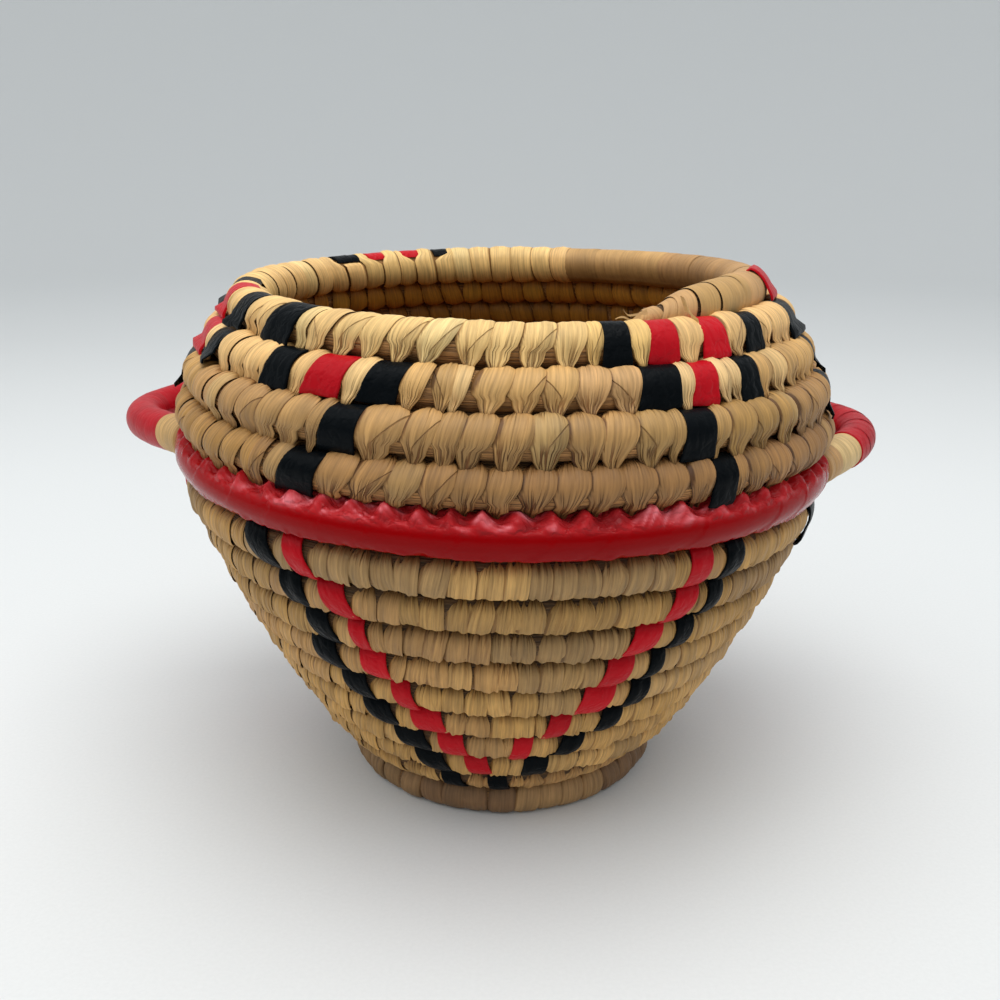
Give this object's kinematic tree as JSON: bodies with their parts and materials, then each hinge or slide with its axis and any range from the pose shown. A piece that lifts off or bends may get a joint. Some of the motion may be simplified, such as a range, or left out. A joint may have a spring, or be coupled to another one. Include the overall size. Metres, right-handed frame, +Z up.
{
  "type": "coiled basket",
  "caption": "Round-bellied open basket sewn from a coil of plant fibre, with a flared wall, narrower mouth, red belt, side loop handles and zigzag stitching.",
  "frame": {"origin": "on the floor, at the centre of the bounding box's underside; the basket's own axis stands 3.7 mm to the right of it (+X), because the left handle reaches out further", "axes": "+Z up along the basket's axis, -Y towards the viewer of the picture, +X to that viewer's right through the right handle"},
  "size_m": [0.2447, 0.1951, 0.1572],
  "materials": {
    "palm_strip": "matte, split palm leaf wound over a fibre core",
    "dark_palm_strip": "matte, worn and browned leaf strip",
    "fibre_core": "rough bare fibre",
    "red_plastic": "glossy soft plastic strip",
    "black_plastic": "slightly glossy soft plastic strip"
  },
  "bodies": {
    "root": {"base_spiral": "palm_strip", "wall_course_1": "palm_strip", "wall_course_2": "palm_strip", "wall_course_3": "palm_strip", "wall_course_4": "palm_strip", "wall_course_5": "palm_strip", "wall_course_6": "palm_strip", "wall_course_7": "palm_strip", "wall_course_8": "palm_strip", "wall_course_9": "palm_strip", "shoulder_course_1": "palm_strip", "shoulder_course_2": "palm_strip", "shoulder_course_3": "palm_strip", "shoulder_course_4": "palm_strip", "rim_tail": "palm_strip", "left_handle_front_root": "palm_strip", "right_handle_front_root": "palm_strip", "base_start_knot": "dark_palm_strip", "foot_ring": "dark_palm_strip", "rim_tail_core_tip": "fibre_core", "red_belt_course": "red_plastic", "left_handle_grip": "red_plastic", "left_handle_back_root": "red_plastic", "right_handle_grip": "red_plastic", "right_handle_back_root": "red_plastic", "wall_red_line_1_left": "red_plastic", "wall_red_line_1_right": "red_plastic", "wall_red_line_2_left": "red_plastic", "wall_red_line_2_right": "red_plastic", "wall_red_line_3_left": "red_plastic", "wall_red_line_3_right": "red_plastic", "wall_red_line_4_left": "red_plastic", "wall_red_line_4_right": "red_plastic", "wall_black_line_1_left": "black_plastic", "wall_black_line_1_right": "black_plastic", "wall_black_line_2_left": "black_plastic", "wall_black_line_2_right": "black_plastic", "wall_black_line_3_left": "black_plastic", "wall_black_line_3_right": "black_plastic", "wall_black_line_4_left": "black_plastic", "wall_black_line_4_right": "black_plastic", "shoulder_black_line_1_left": "black_plastic", "shoulder_black_line_1_right": "black_plastic", "shoulder_black_line_2_left": "black_plastic", "shoulder_black_line_2_right": "black_plastic", "shoulder_black_line_3_left": "black_plastic", "shoulder_black_line_3_right": "black_plastic", "shoulder_black_line_4_left": "black_plastic", "shoulder_black_line_4_right": "black_plastic"}
  },
  "joints": []
}
